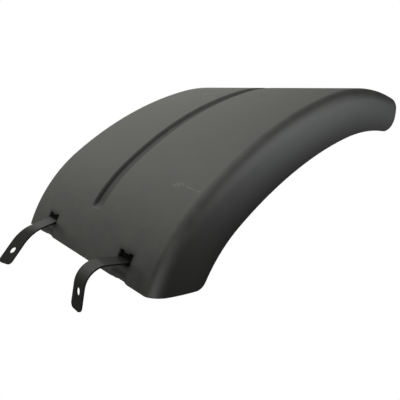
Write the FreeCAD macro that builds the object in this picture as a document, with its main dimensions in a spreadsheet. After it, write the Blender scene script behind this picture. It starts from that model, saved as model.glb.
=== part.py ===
# Moulded truck mudguard: an arched shell with one side skirt, and two rubber hold-down straps.
# Frame: +X from the strapped lower end to the far end, +Y along the wheel axis from the skirt
# to the free edge, +Z up. Millimetres and degrees.
import FreeCAD
import Part
import Sketcher
import math
import os

# Driving dimensions, each written once and kept in the sheet
DIMENSIONS = {
    # the arch, seen from the side: three tangent arcs that meet at angles from the vertical
    "crest_x": 236.2,
    "crest_z": 154.3,
    "crown_radius": 390.0,
    "flank_radius": 814.0,
    "front_radius": 321.0,
    "rear_angle": 18.2,
    "crown_angle": 11.8,
    "flank_angle": 35.0,
    "front_angle": 67.8,
    "front_trim_angle": 5.0,
    # the moulding
    "guard_width": 470.0,
    "wall": 4.0,
    "skirt_depth": 81.5,
    "skirt_crown_radius": 380.0,
    "shoulder_radius": 25.0,
    "skirt_front_corner": 20.0,
    "skirt_rear_corner": 40.0,
    "free_edge_radius": 2.5,
    # the pressed bead along the arch
    "bead_offset": 14.5,
    "bead_mouth": 37.0,
    "bead_floor": 23.0,
    "bead_depth": 6.0,
    "bead_stop_angle": 49.5,
    "bead_runout_radius": 26.0,
    "bead_runout_angle": 42.0,
    "bead_ridge_overrun": 4.0,
    "bead_lap": 1.0,
    # the strap slots, their teeth, and the channels that lead down from them
    "strap_pitch": 277.5,
    "strap_inset": 98.7,
    "slot_angle": 61.6,
    "slot_height": 19.0,
    "slot_clearance": 2.5,
    "tooth_width": 15.0,
    "tooth_length": 2.5,
    "channel_gap": 8.0,
    "channel_depth": 3.0,
    "notch_depth": 1.3,
    "notch_width": 27.0,
    "notch_shift": 8.5,
    # the straps, alike but for how far each is bent and leans to one side
    "strap_angle": 62.2,
    "strap_width": 33.0,
    "strap_thickness": 3.0,
    "strap_end_radius": 8.0,
    "strap_hole_diameter": 15.0,
    "strap_hole_inset": 27.7,
    "head_width": 50.0,
    "head_height": 24.0,
    "head_thickness": 4.0,
    "head_clearance": 0.1,
    "near_neck_angle": 9.0,
    "near_neck_length": 37.5,
    "near_bend_radius": 35.0,
    "near_bend_angle": 87.0,
    "near_tail_length": 36.5,
    "near_lean_angle": -1.2,
    "far_neck_angle": -5.7,
    "far_neck_length": 41.0,
    "far_bend_radius": 82.0,
    "far_bend_angle": 35.0,
    "far_tail_length": 43.5,
    "far_lean_angle": 19.3,
}
SHEET = "Dimensions"
# Cutting sketches reach this far past the faces they cut
OVERCUT = 3.0
# Angle by which a cut at the lower end runs past it
OVERCUT_ANGLE = 6.0
# Added ribs reach this far into the wall they stand on
ROOTING = 0.5
# Points of a sketch element, and the sketch's own origin
START = 1
END = 2
CENTRE = 3
ORIGIN = -1
# Distance within which two coordinates are the same
TOUCH = 1e-3
# A strap's neck is drawn this far past the back of its head plate, and then trimmed
NECK_OVERLENGTH = 12.0
# Unit normals steeper than these belong to the skirt and to the panel
SKIRT_FACING = -0.5
PANEL_FACING = 0.1


def cell(name):
    """The sheet cell that holds one dimension, as an expression."""
    return f"{SHEET}.{name}"


def sine(angle):
    return f"sin(({angle}) * 1 deg)"


def cosine(angle):
    return f"cos(({angle}) * 1 deg)"


WALL = cell("wall")
FRONT_ANGLE = cell("front_angle")
FRONT_RADIUS = cell("front_radius")

# Centres of the three arcs of the arch in the side view
CROWN_X = cell("crest_x")
CROWN_Z = f"{cell('crest_z')} - {cell('crown_radius')}"
CROWN_STEP = f"({cell('crown_radius')} - {cell('flank_radius')})"
FLANK_STEP = f"({cell('flank_radius')} - {cell('front_radius')})"
FLANK_X = f"{CROWN_X} - {CROWN_STEP} * {sine(cell('crown_angle'))}"
FLANK_Z = f"{CROWN_Z} + {CROWN_STEP} * {cosine(cell('crown_angle'))}"
FRONT_X = f"{FLANK_X} - {FLANK_STEP} * {sine(cell('flank_angle'))}"
FRONT_Z = f"{FLANK_Z} + {FLANK_STEP} * {cosine(cell('flank_angle'))}"

# Slots and channels: widths, and angles on the front arc
DEGREES_PER_MM = f"(180 / pi / {FRONT_RADIUS})"
SLOT_WIDTH = f"{cell('strap_width')} + 2 * {cell('slot_clearance')}"
SLOT_TOP = f"{cell('slot_angle')} - {cell('slot_height')} / 2 * {DEGREES_PER_MM}"
SLOT_BOTTOM = f"{cell('slot_angle')} + {cell('slot_height')} / 2 * {DEGREES_PER_MM}"
CHANNEL_TOP = f"{SLOT_BOTTOM} + {cell('channel_gap')} * {DEGREES_PER_MM}"
BOSS_TOP = f"{CHANNEL_TOP} - {WALL} * {DEGREES_PER_MM}"
STRAP_NEAR_Y = f"{cell('strap_inset')} - {cell('guard_width')} / 2"
STRAP_FAR_Y = f"{STRAP_NEAR_Y} + {cell('strap_pitch')}"


def make_sheet(doc):
    sheet = doc.addObject("Spreadsheet::Sheet", SHEET)
    for row, (name, number) in enumerate(DIMENSIONS.items(), start=1):
        sheet.set(f"A{row}", name)
        sheet.set(f"B{row}", str(number))
        sheet.setAlias(f"B{row}", name)
    doc.recompute()


def value(expression):
    """What an expression in the sheet's cells comes to."""
    return float(FreeCAD.ActiveDocument.getObject(SHEET).evalExpression(f"1 * ({expression})"))


def point(across, up):
    return FreeCAD.Vector(value(across), value(up), 0)


def heading(angle):
    """Unit vector at an angle from the sketch's horizontal axis."""
    turn = math.radians(angle)
    return FreeCAD.Vector(math.cos(turn), math.sin(turn), 0)


def origin_feature(body, role):
    for feature in body.Origin.OriginFeatures:
        if feature.Role == role:
            return feature
    raise ValueError(role)


def make_body(doc, name):
    body = doc.addObject("PartDesign::Body", name)
    body.Label = name
    return body


def new_sketch(body, name, plane="XZ_Plane", offset=None):
    """A sketch on one of the body's own planes; offset is an expression along its normal."""
    sketch = body.newObject("Sketcher::SketchObject", name)
    sketch.AttachmentSupport = [(origin_feature(body, plane), "")]
    sketch.MapMode = "FlatFace"
    if offset is not None:
        sketch.setExpression("AttachmentOffset.Base.z", f"({offset}) * 1 mm")
    return sketch


def turn_sketch(sketch, pivot, angle):
    """Turn a sketch of the side view about the vertical line through a pivot."""
    upright = FreeCAD.Rotation(FreeCAD.Vector(0, 1, 0), value(angle))
    sketch.AttachmentOffset = FreeCAD.Placement(FreeCAD.Vector(), upright)
    sketch.setExpression("AttachmentOffset.Base.x", f"({pivot}) * 1 mm")
    sketch.setExpression("AttachmentOffset.Rotation.Angle", f"({angle}) * 1 deg")


def constrain(sketch, *details):
    return sketch.addConstraint(Sketcher.Constraint(*details))


def bind(sketch, index, expression, unit="mm"):
    sketch.setExpression(f"Constraints[{index}]", f"({expression}) * 1 {unit}")


def line(sketch, start, end, construction=False):
    return sketch.addGeometry(Part.LineSegment(start, end), construction)


def arc(sketch, centre, radius, first, last):
    """An arc that runs anticlockwise between two angles from the horizontal axis."""
    circle = Part.Circle(centre, FreeCAD.Vector(0, 0, 1), radius)
    return sketch.addGeometry(Part.ArcOfCircle(circle, math.radians(first), math.radians(last)))


def place(sketch, geometry, spot, across, up):
    """Fix one point of a sketch by two expressions."""
    index = constrain(sketch, "DistanceX", ORIGIN, START, geometry, spot, value(across))
    bind(sketch, index, across)
    index = constrain(sketch, "DistanceY", ORIGIN, START, geometry, spot, value(up))
    bind(sketch, index, up)


def set_radius(sketch, geometry, expression):
    bind(sketch, constrain(sketch, "Radius", geometry, value(expression)), expression)


def set_length(sketch, geometry, expression):
    bind(sketch, constrain(sketch, "Distance", geometry, value(expression)), expression)


def set_angle(sketch, geometry, expression):
    index = constrain(sketch, "Angle", geometry, math.radians(value(expression)))
    bind(sketch, index, expression, "deg")


def spoke(sketch, arc_id, arc_end, centre, angle):
    """Construction line from an arc's centre to its end, which holds that end at an angle."""
    radius = sketch.Geometry[arc_id].Radius
    spoke_id = line(sketch, centre, centre + heading(90 + value(angle)) * radius, True)
    constrain(sketch, "Coincident", spoke_id, START, arc_id, CENTRE)
    constrain(sketch, "Coincident", spoke_id, END, arc_id, arc_end)
    set_angle(sketch, spoke_id, f"90 + {angle}")
    return spoke_id


def draw_arch(sketch, depth, front_angle, crown_radius):
    """Three tangent arcs at a depth below the outer face; the one at the far end has its own radius."""
    rear_angle = value(cell("rear_angle"))
    crown_angle = value(cell("crown_angle"))
    flank_angle = value(cell("flank_angle"))
    below = value(depth)
    own_radius = value(crown_radius)
    parallel_radius = value(cell("crown_radius")) - below
    centre = point(CROWN_X, CROWN_Z) + heading(90 + crown_angle) * (parallel_radius - own_radius)
    span = (rear_angle + crown_angle) * parallel_radius / own_radius
    crown_arc = arc(sketch, centre, own_radius, 90 + crown_angle - span, 90 + crown_angle)
    flank_arc = arc(sketch, point(FLANK_X, FLANK_Z), value(cell("flank_radius")) - below,
                    90 + crown_angle, 90 + flank_angle)
    front_arc = arc(sketch, point(FRONT_X, FRONT_Z), value(FRONT_RADIUS) - below,
                    90 + flank_angle, 90 + front_angle)
    constrain(sketch, "Tangent", crown_arc, END, flank_arc, START)
    constrain(sketch, "Tangent", flank_arc, END, front_arc, START)
    set_radius(sketch, crown_arc, crown_radius)
    return crown_arc, flank_arc, front_arc


def hold_arch(sketch, arcs, front_angle):
    """Fix the outer face's three arcs; returns the spokes at the far end and at the flank."""
    crown_arc, flank_arc, front_arc = arcs
    crown = point(CROWN_X, CROWN_Z)
    set_radius(sketch, flank_arc, cell("flank_radius"))
    set_radius(sketch, front_arc, FRONT_RADIUS)
    flank_spoke = spoke(sketch, crown_arc, END, crown, cell("crown_angle"))
    spoke(sketch, flank_arc, END, point(FLANK_X, FLANK_Z), cell("flank_angle"))
    spoke(sketch, front_arc, END, point(FRONT_X, FRONT_Z), front_angle)
    rear_spoke = spoke(sketch, crown_arc, START, crown, f"-1 * {cell('rear_angle')}")
    place(sketch, crown_arc, CENTRE, CROWN_X, CROWN_Z)
    return rear_spoke, flank_spoke


def front_band(body, name, offset, outer, inner, first, last):
    """Sketch of a band round the front arc, between two depths and two angles."""
    sketch = new_sketch(body, name, offset=offset)
    centre = point(FRONT_X, FRONT_Z)
    arcs = []
    for depth in (outer, inner):
        radius = f"{FRONT_RADIUS} - ({depth})"
        arc_id = arc(sketch, centre, value(radius), 90 + value(first), 90 + value(last))
        set_radius(sketch, arc_id, radius)
        arcs.append(arc_id)
    outer_arc, inner_arc = arcs
    place(sketch, outer_arc, CENTRE, FRONT_X, FRONT_Z)
    constrain(sketch, "Coincident", inner_arc, CENTRE, outer_arc, CENTRE)
    for arc_end, angle in ((START, first), (END, last)):
        toward = heading(90 + value(angle))
        low = centre + toward * sketch.Geometry[inner_arc].Radius
        high = centre + toward * sketch.Geometry[outer_arc].Radius
        side = line(sketch, low, high)
        constrain(sketch, "Coincident", side, START, inner_arc, arc_end)
        constrain(sketch, "Coincident", side, END, outer_arc, arc_end)
        constrain(sketch, "PointOnObject", outer_arc, CENTRE, side)
        set_angle(sketch, side, f"90 + {angle}")
    return sketch


def polygon(sketch, corners):
    """Closed straight-sided outline through corners given as pairs of expressions."""
    spots = [point(*corner) for corner in corners]
    sides = [line(sketch, spots[i - 1], spots[i]) for i in range(len(spots))]
    for i, corner in enumerate(corners):
        following = sides[(i + 1) % len(sides)]
        constrain(sketch, "Coincident", sides[i], END, following, START)
        place(sketch, sides[i], END, *corner)


def extrude(body, kind, name, sketch, length):
    """A Pad or Pocket of a sketch, the same distance to both sides of its plane."""
    feature = body.newObject(f"PartDesign::{kind}", name)
    feature.Profile = sketch
    feature.SideType = "Symmetric"
    feature.setExpression("Length", f"({length}) * 1 mm")
    body.Document.recompute()
    return feature


def round_edges(body, name, radius, chosen):
    """Fillet the tip's edges that a test chooses."""
    base = body.Tip
    edges = [f"Edge{i}" for i, edge in enumerate(base.Shape.Edges, start=1) if chosen(edge)]
    fillet = body.newObject("PartDesign::Fillet", name)
    fillet.Base = (base, edges)
    fillet.setExpression("Radius", f"({radius}) * 1 mm")
    body.Document.recompute()
    return fillet


def middle(edge):
    return edge.valueAt((edge.FirstParameter + edge.LastParameter) / 2)


def depth_below_arch(spot):
    """Depth of a point below the arch's outer face, in the side view."""
    flat = FreeCAD.Vector(spot.x, spot.z, 0)
    crown = point(CROWN_X, CROWN_Z)
    front = point(FRONT_X, FRONT_Z)
    flank = point(FLANK_X, FLANK_Z)
    turn = math.degrees(math.atan2(flank.x - flat.x, flat.y - flank.y))
    if turn < value(cell("crown_angle")):
        return value(cell("crown_radius")) - flat.distanceToPoint(crown)
    if turn < value(cell("flank_angle")):
        return value(cell("flank_radius")) - flat.distanceToPoint(flank)
    return value(FRONT_RADIUS) - flat.distanceToPoint(front)


def along_arch(edge, side):
    """True for an edge of the outer face that runs along the arch at one side of the guard."""
    if not edge.Curve.isDerivedFrom("Part::GeomCircle"):
        return False
    spot = middle(edge)
    at_side = abs(spot.y - side) < TOUCH
    return at_side and abs(depth_below_arch(spot)) < TOUCH


def make_arch_block(body):
    """Solid block between the outer face and the skirt's lower edge, over the full width."""
    sketch = new_sketch(body, "arch_outline")
    front_angle = value(FRONT_ANGLE)
    outer = draw_arch(sketch, "0", front_angle, cell("crown_radius"))
    rear_spoke, flank_spoke = hold_arch(sketch, outer, FRONT_ANGLE)
    depth = cell("skirt_depth")
    lower = draw_arch(sketch, depth, front_angle, cell("skirt_crown_radius"))
    for outer_arc, lower_arc in zip(outer[1:], lower[1:]):
        constrain(sketch, "Coincident", lower_arc, CENTRE, outer_arc, CENTRE)
    set_radius(sketch, lower[1], f"{cell('flank_radius')} - {depth}")
    constrain(sketch, "PointOnObject", lower[1], START, flank_spoke)
    far_top = sketch.getPoint(outer[0], START)
    far_bottom = sketch.getPoint(lower[0], START)
    far_end = line(sketch, far_top, far_bottom)
    constrain(sketch, "Coincident", far_end, START, outer[0], START)
    constrain(sketch, "Coincident", far_end, END, lower[0], START)
    constrain(sketch, "PointOnObject", lower[0], START, rear_spoke)
    near_end = line(sketch, sketch.getPoint(outer[2], END), sketch.getPoint(lower[2], END))
    constrain(sketch, "Coincident", near_end, START, outer[2], END)
    constrain(sketch, "Coincident", near_end, END, lower[2], END)
    set_angle(sketch, near_end, f"-1 * {cell('front_trim_angle')}")
    extrude(body, "Pad", "arch_block", sketch, cell("guard_width"))
    return sketch.getPoint(lower[2], END), sketch.getPoint(lower[0], START)


def round_block(body, front_corner, rear_corner):
    """Round the skirt's two lower corners, then the shoulder between panel and skirt."""

    def stands_at(corner):
        def chosen(edge):
            spot = middle(edge)
            return math.hypot(spot.x - corner.x, spot.z - corner.y) < TOUCH
        return chosen

    round_edges(body, "front_corner", cell("skirt_front_corner"), stands_at(front_corner))
    round_edges(body, "rear_corner", cell("skirt_rear_corner"), stands_at(rear_corner))
    skirt_side = -value(cell("guard_width")) / 2
    round_edges(body, "shoulder", cell("shoulder_radius"), lambda e: along_arch(e, skirt_side))


def hollow_block(body):
    """Shell the block: only the panel, the shoulder and the skirt keep a wall."""
    base = body.Tip
    skirt_side = -value(cell("guard_width")) / 2
    shoulder = value(cell("shoulder_radius"))
    opened = []
    for i, face in enumerate(base.Shape.Faces, start=1):
        first, last, low, high = face.ParameterRange
        spot = face.valueAt((first + last) / 2, (low + high) / 2)
        normal = face.normalAt((first + last) / 2, (low + high) / 2)
        on_skirt = normal.y < SKIRT_FACING and abs(spot.y - skirt_side) < shoulder
        on_panel = depth_below_arch(spot) < shoulder and normal.z > PANEL_FACING
        if not (on_skirt or on_panel):
            opened.append(f"Face{i}")
    hollow = body.newObject("PartDesign::Thickness", "hollow")
    hollow.Base = (base, opened)
    hollow.setExpression("Value", f"{WALL} * 1 mm")
    hollow.Mode = "Skin"
    hollow.Join = "Intersection"
    hollow.Reversed = True
    body.Document.recompute()


def bead_path(body, name, stop_angle, runs_out):
    """Path along the outer face from the far end; a last arc can lift it off the face."""
    sketch = new_sketch(body, name)
    arcs = draw_arch(sketch, "0", value(stop_angle), cell("crown_radius"))
    hold_arch(sketch, arcs, stop_angle)
    if runs_out:
        stop = value(stop_angle)
        radius = value(cell("bead_runout_radius"))
        lift = value(cell("bead_runout_angle"))
        centre = point(FRONT_X, FRONT_Z) + heading(90 + stop) * (value(FRONT_RADIUS) + radius)
        runout = arc(sketch, centre, radius, 270 + stop - lift, 270 + stop)
        constrain(sketch, "Tangent", arcs[2], END, runout, END)
        set_radius(sketch, runout, cell("bead_runout_radius"))
        spoke_angle = f"180 + {stop_angle} - {cell('bead_runout_angle')}"
        spoke(sketch, runout, START, centre, spoke_angle)
    return sketch


def bead_section(body, name, top, bottom, half_top, half_bottom):
    """Trapezium across the crest, between two depths, centred on the bead."""
    sketch = new_sketch(body, name, "YZ_Plane", cell("crest_x"))
    corners = []
    for sign, depth, half in ((-1, top, half_top), (-1, bottom, half_bottom),
                              (1, bottom, half_bottom), (1, top, half_top)):
        across = f"{cell('bead_offset')} + {sign} * ({half})"
        corners.append((across, f"{cell('crest_z')} - ({depth})"))
    polygon(sketch, corners)
    return sketch


def sweep(body, kind, name, section, path):
    feature = body.newObject(f"PartDesign::{kind}", name)
    feature.Profile = section
    feature.Spine = (path, [])
    feature.Mode = "Frenet"
    body.Document.recompute()
    return feature


def make_bead(body):
    """Pressed bead: a rib under the panel, then the groove that leaves it one wall thick."""
    half_mouth = f"{cell('bead_mouth')} / 2"
    half_floor = f"{cell('bead_floor')} / 2"
    depth = cell("bead_depth")
    lap = cell("bead_lap")
    rib = bead_section(body, "bead_rib_section", f"{WALL} - {ROOTING}", f"{WALL} + {depth}",
                       f"{half_mouth} + {lap}", f"{half_floor} + {lap}")
    rib_stop = f"{cell('bead_stop_angle')} + {cell('bead_ridge_overrun')}"
    sweep(body, "AdditivePipe", "bead_rib", rib, bead_path(body, "bead_rib_path", rib_stop, False))
    flare = f"({half_mouth} - {half_floor}) * {OVERCUT} / {depth}"
    groove = bead_section(body, "bead_groove_section", f"-{OVERCUT}", depth,
                          f"{half_mouth} + {flare}", half_floor)
    groove_path = bead_path(body, "bead_groove_path", cell("bead_stop_angle"), True)
    sweep(body, "SubtractivePipe", "bead_groove", groove, groove_path)


def make_strap_seats(body):
    """Slot, tooth, channel and edge notch for the near strap, repeated for the far one."""
    offset = f"-1 * ({STRAP_NEAR_Y})"
    past_end = f"{FRONT_ANGLE} + {OVERCUT_ANGLE}"
    channel_bottom = f"{cell('channel_depth')} + {WALL}"
    boss = front_band(body, "boss_side", offset, f"{WALL} - {ROOTING}", channel_bottom,
                      BOSS_TOP, FRONT_ANGLE)
    channel = front_band(body, "channel_side", offset, f"-{OVERCUT}", cell("channel_depth"),
                         CHANNEL_TOP, past_end)
    slot = front_band(body, "slot_side", offset, f"-{OVERCUT}", f"{WALL} + {OVERCUT}",
                      SLOT_TOP, SLOT_BOTTOM)
    tooth_tip = f"{SLOT_TOP} + {cell('tooth_length')} * {DEGREES_PER_MM}"
    tooth_root = f"{SLOT_TOP} - {ROOTING} * {DEGREES_PER_MM}"
    tooth = front_band(body, "tooth_side", offset, "0", WALL, tooth_root, tooth_tip)
    notch_top = f"{FRONT_ANGLE} - {cell('notch_depth')} * {DEGREES_PER_MM}"
    notch = front_band(body, "notch_side", f"{offset} + {cell('notch_shift')}", f"-{OVERCUT}",
                       f"{channel_bottom} + {OVERCUT}", notch_top, past_end)
    made = [
        extrude(body, "Pad", "channel_boss", boss, f"{SLOT_WIDTH} + 2 * {WALL}"),
        extrude(body, "Pocket", "channel", channel, SLOT_WIDTH),
        extrude(body, "Pocket", "slot", slot, SLOT_WIDTH),
        extrude(body, "Pad", "tooth", tooth, cell("tooth_width")),
        extrude(body, "Pocket", "notch", notch, cell("notch_width")),
    ]
    repeat = body.newObject("PartDesign::LinearPattern", "second_strap_seat")
    repeat.Originals = made
    repeat.Direction = (origin_feature(body, "Y_Axis"), [""])
    repeat.setExpression("Length", f"{cell('strap_pitch')} * 1 mm")
    repeat.Occurrences = 2
    body.Tip = repeat
    body.Document.recompute()


def make_shell(doc):
    body = make_body(doc, "shell")
    corners = make_arch_block(body)
    round_block(body, *corners)
    hollow_block(body)
    free_side = value(cell("guard_width")) / 2
    round_edges(body, "free_edge", cell("free_edge_radius"), lambda e: along_arch(e, free_side))
    make_bead(body)
    make_strap_seats(body)
    return body


def strap_frame(prefix):
    """Expressions for one strap: where it crosses the wall, its headings, and its neck's start."""
    middle_radius = f"({FRONT_RADIUS} - {WALL} / 2)"
    crossing_x = f"{FRONT_X} - {middle_radius} * {sine(cell('strap_angle'))}"
    crossing_z = f"{FRONT_Z} + {middle_radius} * {cosine(cell('strap_angle'))}"
    neck_heading = f"180 - {cell(prefix + '_neck_angle')}"
    tail_heading = f"{neck_heading} + {cell(prefix + '_bend_angle')}"
    head = f"{cell('head_clearance')} + {cell('head_thickness')}"
    root = f"({WALL} / 2 + {head} + {NECK_OVERLENGTH})"
    half = f"{cell('strap_thickness')} / 2"
    start_x = f"{half} * {sine(neck_heading)} - {root} * {cosine(neck_heading)}"
    start_z = f"{crossing_z} - {half} * {cosine(neck_heading)} - {root} * {sine(neck_heading)}"
    return crossing_x, neck_heading, tail_heading, root, start_x, start_z


def draw_strip(body, prefix, offset):
    """Side view of a strap: straight neck, bend and straight tail, all one thickness."""
    sketch = new_sketch(body, f"{prefix}_strip", offset=offset)
    crossing_x, neck_heading, tail_heading, root, start_x, start_z = strap_frame(prefix)
    turn_sketch(sketch, crossing_x, cell(prefix + "_lean_angle"))
    thick = value(cell("strap_thickness"))
    radius = value(cell(prefix + "_bend_radius"))
    neck_length = f"{cell(prefix + '_neck_length')} + {root}"
    neck_way = heading(value(neck_heading))
    tail_way = heading(value(tail_heading))
    neck_side = heading(value(neck_heading) + 90)
    tail_side = heading(value(tail_heading) + 90)
    a = point(start_x, start_z)
    b = a + neck_way * value(neck_length)
    centre = b + neck_side * radius
    c = centre - tail_side * radius
    d = c + tail_way * value(cell(prefix + "_tail_length"))
    neck = line(sketch, a, b)
    bend = arc(sketch, centre, radius, value(neck_heading) - 90, value(tail_heading) - 90)
    tail = line(sketch, c, d)
    end = line(sketch, d, d + tail_side * thick)
    under_tail = line(sketch, d + tail_side * thick, c + tail_side * thick)
    under_bend = arc(sketch, centre, radius - thick,
                     value(neck_heading) - 90, value(tail_heading) - 90)
    under_neck = line(sketch, b + neck_side * thick, a + neck_side * thick)
    root_end = line(sketch, a + neck_side * thick, a)
    constrain(sketch, "Tangent", neck, END, bend, START)
    constrain(sketch, "Tangent", bend, END, tail, START)
    constrain(sketch, "Coincident", tail, END, end, START)
    constrain(sketch, "Coincident", end, END, under_tail, START)
    constrain(sketch, "Tangent", under_tail, END, under_bend, END)
    constrain(sketch, "Tangent", under_bend, START, under_neck, START)
    constrain(sketch, "Coincident", under_neck, END, root_end, START)
    constrain(sketch, "Coincident", root_end, END, neck, START)
    constrain(sketch, "Coincident", under_bend, CENTRE, bend, CENTRE)
    constrain(sketch, "Perpendicular", end, tail)
    constrain(sketch, "Perpendicular", root_end, neck)
    constrain(sketch, "Parallel", tail, under_tail)
    constrain(sketch, "Parallel", neck, under_neck)
    set_length(sketch, end, cell("strap_thickness"))
    set_radius(sketch, bend, cell(prefix + "_bend_radius"))
    set_length(sketch, neck, neck_length)
    set_length(sketch, tail, cell(prefix + "_tail_length"))
    set_angle(sketch, neck, neck_heading)
    set_angle(sketch, tail, tail_heading)
    place(sketch, neck, START, start_x, start_z)
    return sketch, tail


def make_head(body, prefix, offset):
    """Plate that closes the slot from behind, with the neck trimmed level with its back."""
    half_height = f"{cell('head_height')} / 2 * {DEGREES_PER_MM}"
    first = f"{cell('slot_angle')} - {half_height}"
    last = f"{cell('slot_angle')} + {half_height}"
    face = f"{WALL} + {cell('head_clearance')}"
    back = f"{face} + {cell('head_thickness')}"
    head = front_band(body, f"{prefix}_head_side", offset, face, back, first, last)
    extrude(body, "Pad", f"{prefix}_head", head, cell("head_width"))
    behind = f"{back} + 2 * {NECK_OVERLENGTH}"
    trim = front_band(body, f"{prefix}_trim_side", offset, back, behind,
                      f"{first} - {OVERCUT_ANGLE}", f"{last} + {OVERCUT_ANGLE}")
    extrude(body, "Pocket", f"{prefix}_trim", trim, f"{cell('head_width')} + 2 * {OVERCUT}")


def make_strap(doc, name, prefix, across):
    """A rubber strap: a bent strip with a plate behind the slot and a hole in its tail."""
    body = make_body(doc, name)
    offset = f"-1 * ({across})"
    strip, tail = draw_strip(body, prefix, offset)
    extrude(body, "Pad", f"{prefix}_strap", strip, cell("strap_width"))
    make_head(body, prefix, offset)

    tail_end = strip.Placement.multVec(strip.getPoint(tail, END))
    tail_way = (tail_end - strip.Placement.multVec(strip.getPoint(tail, START))).normalize()
    thick = value(cell("strap_thickness"))

    def at_tail_end(edge):
        near_end = abs((middle(edge) - tail_end).dot(tail_way)) < TOUCH
        return near_end and abs(edge.Length - thick) < TOUCH

    round_edges(body, f"{prefix}_end_corners", cell("strap_end_radius"), at_tail_end)
    make_strap_hole(body, prefix, tail_end - tail_way * value(cell("strap_hole_inset")))
    return body


def make_strap_hole(body, prefix, centre):
    """Round hole through the tail, drawn on the tail's outer face."""
    base = body.Tip
    faces = [f"Face{i}" for i, face in enumerate(base.Shape.Faces, start=1)
             if face.Surface.isDerivedFrom("Part::GeomPlane")
             and face.isInside(centre, TOUCH, True)]
    sketch = body.newObject("Sketcher::SketchObject", f"{prefix}_hole_circle")
    sketch.AttachmentSupport = [(base, faces[0])]
    sketch.MapMode = "FlatFace"
    body.Document.recompute()
    local = sketch.Placement.inverse().multVec(centre)
    radius = f"{cell('strap_hole_diameter')} / 2"
    circle = sketch.addGeometry(Part.Circle(local, FreeCAD.Vector(0, 0, 1), value(radius)))
    constrain(sketch, "DistanceX", ORIGIN, START, circle, CENTRE, local.x)
    constrain(sketch, "DistanceY", ORIGIN, START, circle, CENTRE, local.y)
    set_radius(sketch, circle, radius)
    extrude(body, "Pocket", f"{prefix}_hole", sketch, f"2 * {cell('strap_thickness')} + {OVERCUT}")


def check_and_write(doc, bodies):
    """Stop if any object failed; otherwise write one file for each body."""
    failed = [item.Name for item in doc.Objects if {"Invalid", "Error"} & set(item.State)]
    if failed:
        raise RuntimeError(f"failed: {failed}")
    os.makedirs("parts", exist_ok=True)
    for body in bodies:
        shape = body.Shape
        if shape.isNull() or not shape.isValid() or len(shape.Solids) != 1:
            raise RuntimeError(f"{body.Label} is not one valid solid")
        shape.exportStep(os.path.join("parts", f"{body.Label}.step"))
        print(body.Label, round(shape.Volume / 1000, 1), "cm3")


def main():
    doc = FreeCAD.newDocument("mudguard")
    make_sheet(doc)
    shell = make_shell(doc)
    near = make_strap(doc, "strap_near", "near", STRAP_NEAR_Y)
    far = make_strap(doc, "strap_far", "far", STRAP_FAR_Y)
    check_and_write(doc, [shell, near, far])


main()
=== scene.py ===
# %% [markdown]
# # A moulded mudguard with two rubber straps
# The real object is a guard for a truck wheel. One black plastic moulding arches over the tyre and
# carries a skirt down one side, and two rubber straps come out of slots near its lower end and
# button over pegs on the vehicle. This lesson loads the measured model, makes each piece again as
# a smooth surface worked out with numpy, gives it a finish, and lights it like a studio picture.

import math

import bpy
import numpy as np
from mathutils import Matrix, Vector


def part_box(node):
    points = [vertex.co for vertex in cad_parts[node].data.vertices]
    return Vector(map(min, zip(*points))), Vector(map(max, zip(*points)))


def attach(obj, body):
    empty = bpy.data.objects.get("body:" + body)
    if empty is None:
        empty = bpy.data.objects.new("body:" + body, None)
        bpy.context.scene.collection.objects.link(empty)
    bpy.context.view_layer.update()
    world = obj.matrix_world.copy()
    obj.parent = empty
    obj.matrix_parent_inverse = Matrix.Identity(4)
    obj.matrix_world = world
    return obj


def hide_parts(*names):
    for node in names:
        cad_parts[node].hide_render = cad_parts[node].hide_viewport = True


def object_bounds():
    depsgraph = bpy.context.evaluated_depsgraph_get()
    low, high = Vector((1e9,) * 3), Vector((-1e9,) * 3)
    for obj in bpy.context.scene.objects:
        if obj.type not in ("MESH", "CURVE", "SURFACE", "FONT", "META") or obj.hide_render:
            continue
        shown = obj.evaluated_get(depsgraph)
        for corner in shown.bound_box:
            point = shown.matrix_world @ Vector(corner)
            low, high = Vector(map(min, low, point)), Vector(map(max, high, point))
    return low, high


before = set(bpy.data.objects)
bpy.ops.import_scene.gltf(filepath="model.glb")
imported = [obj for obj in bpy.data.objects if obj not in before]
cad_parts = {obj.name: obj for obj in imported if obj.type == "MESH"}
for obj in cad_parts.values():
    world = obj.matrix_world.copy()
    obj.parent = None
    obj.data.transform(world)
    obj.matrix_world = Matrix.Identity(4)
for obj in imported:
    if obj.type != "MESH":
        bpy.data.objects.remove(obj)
cad_box = [list(corner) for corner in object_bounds()]
MM = 0.001
print("measured pieces:", sorted(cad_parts))

# %% [markdown]
# ## The line of the arch
# Seen from the side, the shell is a round crown, a long and flatter flank and a tighter front, which
# meet without a corner. A Bezier curve could be bent to look like that, but three arcs with shared
# tangents are how the tool for such a part is drawn. As a formula they give every point of the
# line, and every point at any depth below it, in one step for a whole array.

# %% The arch as three tangent arcs
shell_low, shell_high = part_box("shell")
CREST_X = 236.2 * MM
ARC_RADII = np.array([390.0, 814.0, 321.0]) * MM
ARC_ANGLES = np.radians([-18.2, 11.8, 35.0, 67.8])
ARC_ENDS = np.concatenate([[0.0], np.cumsum(ARC_RADII * np.diff(ARC_ANGLES))])
ARCH_LENGTH = ARC_ENDS[-1]
CREST_AT = -ARC_RADII[0] * ARC_ANGLES[0]


def spoke(angle):
    """Unit vector in the side view (x, z), turned from the vertical towards the lower end."""
    return np.stack([-np.sin(angle), np.cos(angle)], axis=-1)


def arc_centres():
    """Each arc's centre lies on the last spoke of the arc before it, so the tangents agree."""
    first = np.array([CREST_X, shell_high.z - ARC_RADII[0]])
    steps = (ARC_RADII[:-1] - ARC_RADII[1:])[:, None] * spoke(ARC_ANGLES[1:-1])
    return np.concatenate([first[None], first + np.cumsum(steps, axis=0)])


ARC_CENTRES = arc_centres()


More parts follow.
